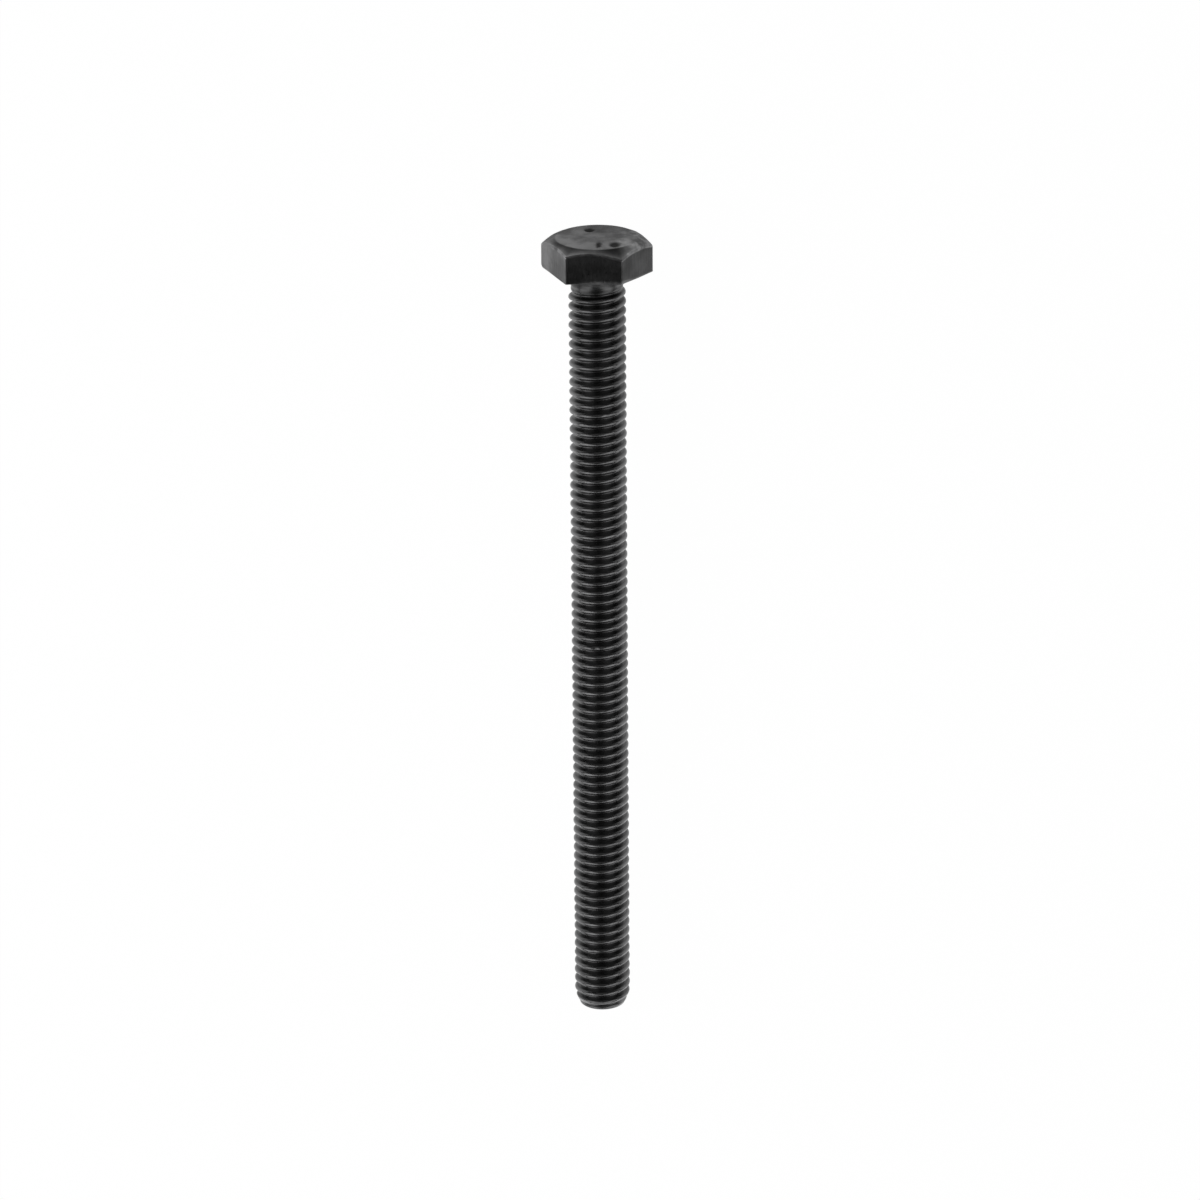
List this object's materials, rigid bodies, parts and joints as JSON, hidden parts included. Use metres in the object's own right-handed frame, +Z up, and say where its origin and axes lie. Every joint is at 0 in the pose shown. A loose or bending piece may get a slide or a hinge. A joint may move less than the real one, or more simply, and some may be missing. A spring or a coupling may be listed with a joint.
{
  "type": "alternator adjusting bolt",
  "caption": "Long slim hexagon-head screw with a metric coarse thread running all the way up to a low head, in black oxide steel.",
  "frame": {"origin": "middle of the base of the screw's bounding box, on the level surface that the screw lies on", "axes": "+X from the head towards the threaded tip, +Z up, +Y across the screw. The screw lies at rest on one head flat and the last thread crest, so its axis drops 1.37 degrees towards the tip"},
  "size_m": [0.0838, 0.0112, 0.0098],
  "materials": {
    "black_oxide_steel": "black oxide, lightly oiled, semi-matte, rubbed a little brighter on thread crests and head edges"
  },
  "bodies": {
    "root": {"adjusting_bolt": "black_oxide_steel"}
  },
  "joints": []
}
